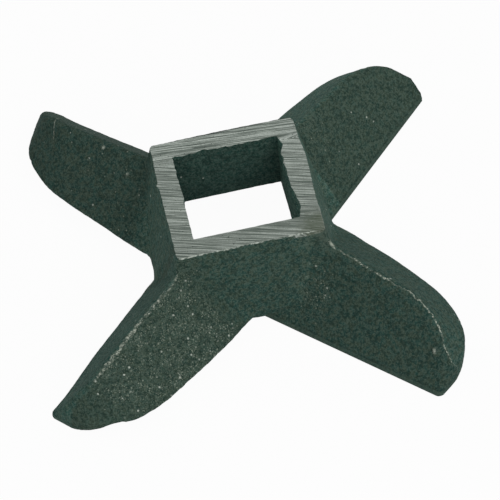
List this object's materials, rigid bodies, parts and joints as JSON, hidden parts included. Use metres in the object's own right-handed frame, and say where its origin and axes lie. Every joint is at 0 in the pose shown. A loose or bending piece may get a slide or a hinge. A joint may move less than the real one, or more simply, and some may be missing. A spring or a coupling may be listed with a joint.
{
  "type": "meat grinder knife",
  "caption": "Cast meat grinder knife: a drafted square hub with a square drive hole, and roof-shaped wings with flat cutting undersides.",
  "frame": {"origin": "on the drive hole's axis, in the plane of the wings' flat undersides, which is the cutting plane", "axes": "+Z along the drive hole's axis, from the cutting plane to the hub's ground top; X and Y square to the drive hole's sides"},
  "size_m": [0.06, 0.06, 0.014],
  "materials": {
    "cast_iron": "rough as cast, dark grey-green, with a ground light grey hub top"
  },
  "bodies": {
    "root": {"knife_casting": "cast_iron"}
  },
  "joints": []
}
